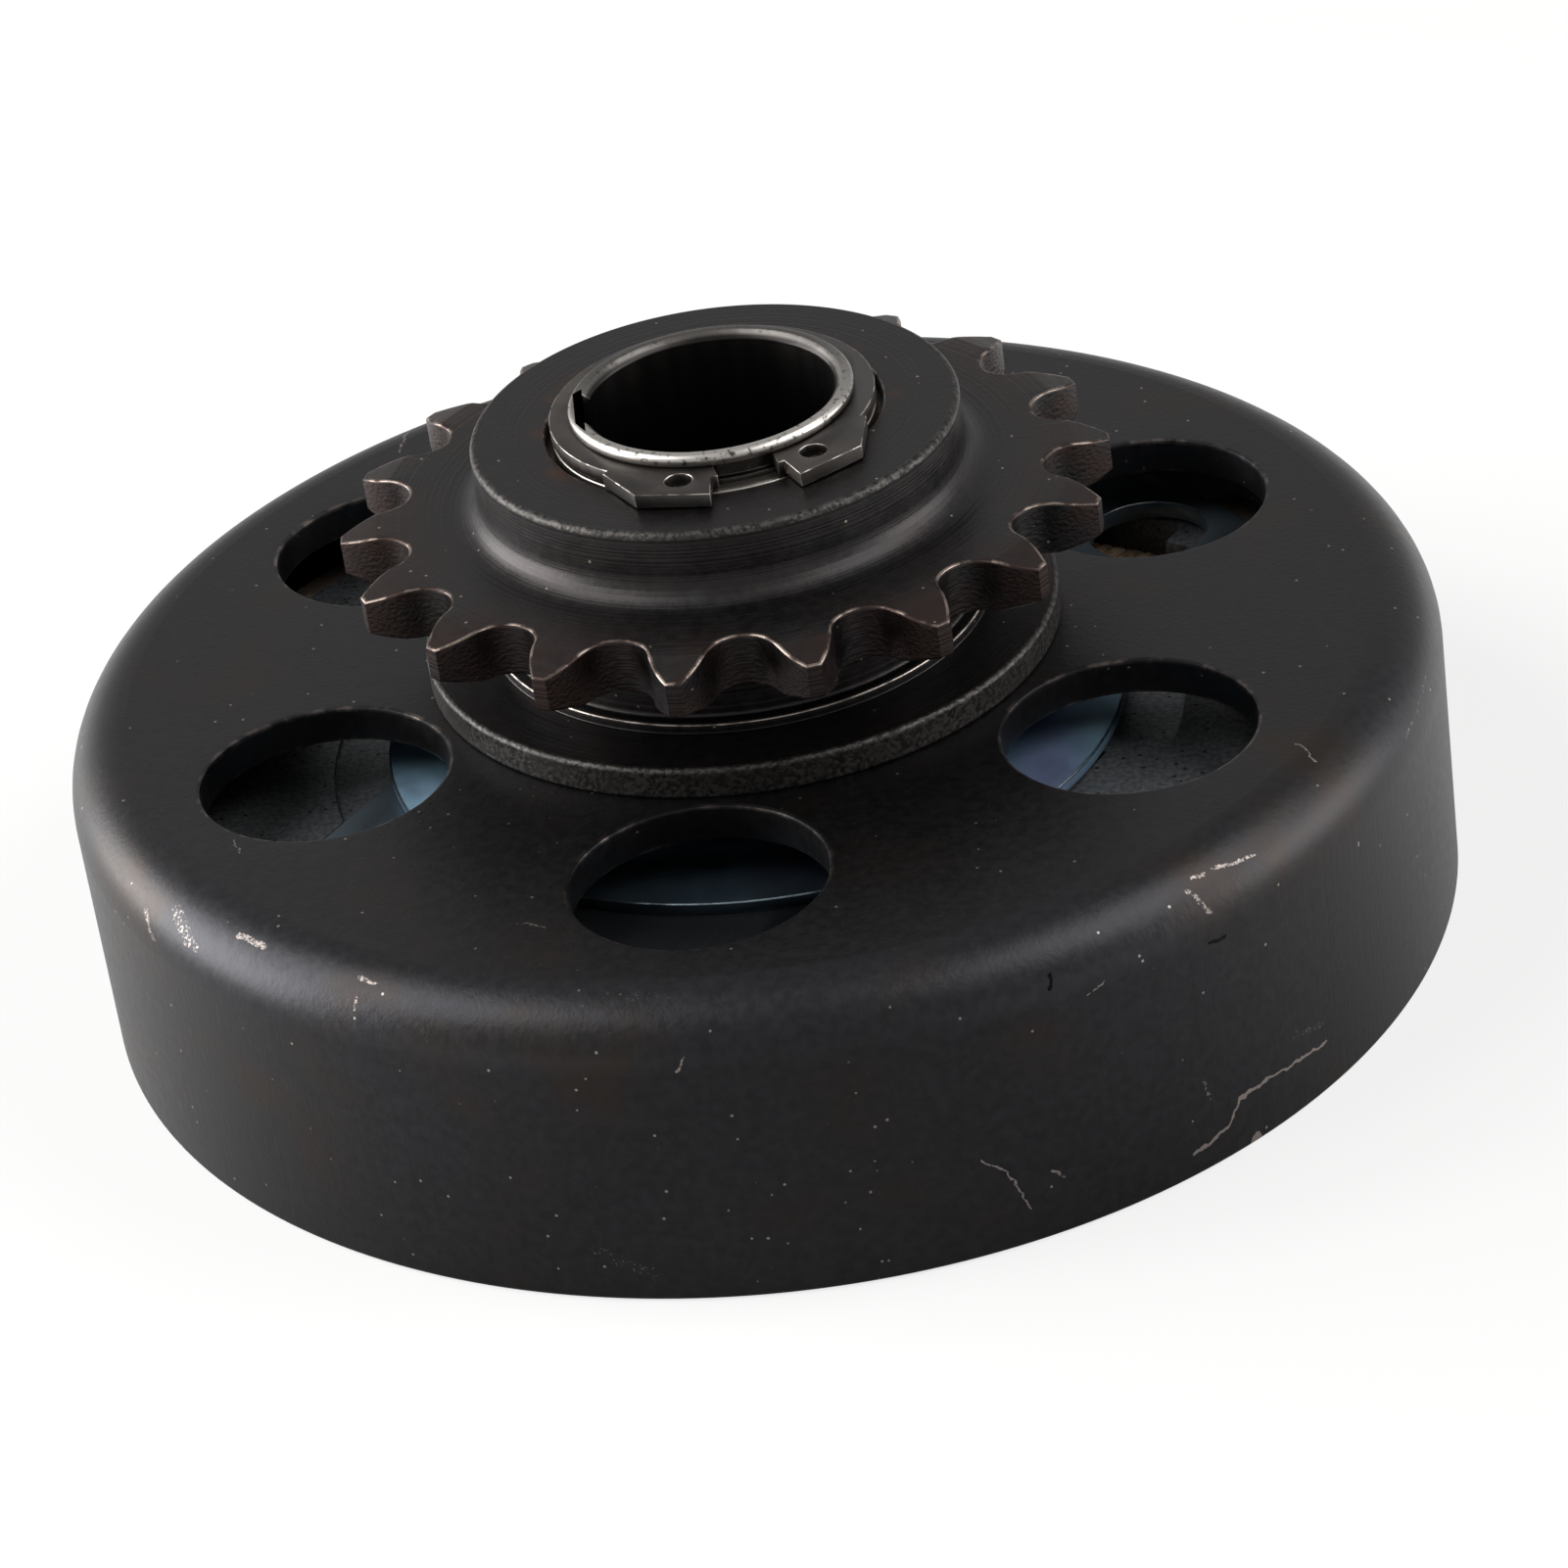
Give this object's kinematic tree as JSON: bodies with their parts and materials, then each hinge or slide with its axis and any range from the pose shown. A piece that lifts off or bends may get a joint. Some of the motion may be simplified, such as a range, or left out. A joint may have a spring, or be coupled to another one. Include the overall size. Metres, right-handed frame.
{
  "type": "centrifugal clutch",
  "caption": "Dry centrifugal clutch: a pressed drum with round windows and a chain sprocket on its hub, over spring-held shoes that a keyed sleeve drives.",
  "frame": {"origin": "centre of the drum's open rim, in the plane of the rim", "axes": "+Z along the shaft, from the open rim towards the sprocket and the snap ring"},
  "size_m": [0.108, 0.108, 0.046],
  "materials": {
    "drum_steel": "black oxide, satin",
    "hub_steel": "black-brown oxide, turned",
    "bronze": "sintered bronze",
    "sleeve_steel": "black oxide, bright end",
    "washer_steel": "bright",
    "zinc_plate": "blue zinc plate",
    "guide_steel": "dark plated",
    "spider_steel": "machined",
    "rivet_steel": "bright",
    "sintered_iron": "grainy",
    "friction_lining": "moulded friction material",
    "spring_steel": "oiled spring wire",
    "pin_steel": "ground"
  },
  "bodies": {
    "drum": {"drum": "drum_steel", "sprocket_hub": "hub_steel", "bronze_bushing": "bronze"},
    "hub": {"hub_sleeve": "sleeve_steel", "outer_thrust_washer": "washer_steel", "inner_thrust_washer": "washer_steel", "circlip": "spring_steel", "upper_disc": "zinc_plate", "lower_disc": "zinc_plate", "upper_guide_plate": "guide_steel", "lower_guide_plate": "guide_steel", "drive_spider": "spider_steel", "spider_rivets": "rivet_steel", "spring_1": "spring_steel", "spring_2": "spring_steel"},
    "shoe_1": {"shoe_1": "sintered_iron", "lining_1": "friction_lining", "spring_pins_1": "pin_steel"},
    "shoe_2": {"shoe_2": "sintered_iron", "lining_2": "friction_lining", "spring_pins_2": "pin_steel"}
  },
  "joints": [
    {"name": "hub_spin", "type": "hinge", "parent": "drum", "child": "hub", "pos_m": [0, 0, 0.0233], "axis": [0, 0, 1], "continuous": true},
    {"name": "shoe_1_slide", "type": "slide", "parent": "hub", "child": "shoe_1", "axis": [-0.7986, 0.6018, 0], "range_m": [0, 0.0009], "stiffness_N_per_m": 4000, "deforming": ["spring_1", "spring_2"]},
    {"name": "shoe_2_slide", "type": "slide", "parent": "hub", "child": "shoe_2", "axis": [0.7986, -0.6018, 0], "range_m": [0, 0.0009], "stiffness_N_per_m": 4000}
  ],
  "couplings": [
    {"joint": "shoe_2_slide", "follows": "shoe_1_slide", "ratio": 1}
  ]
}
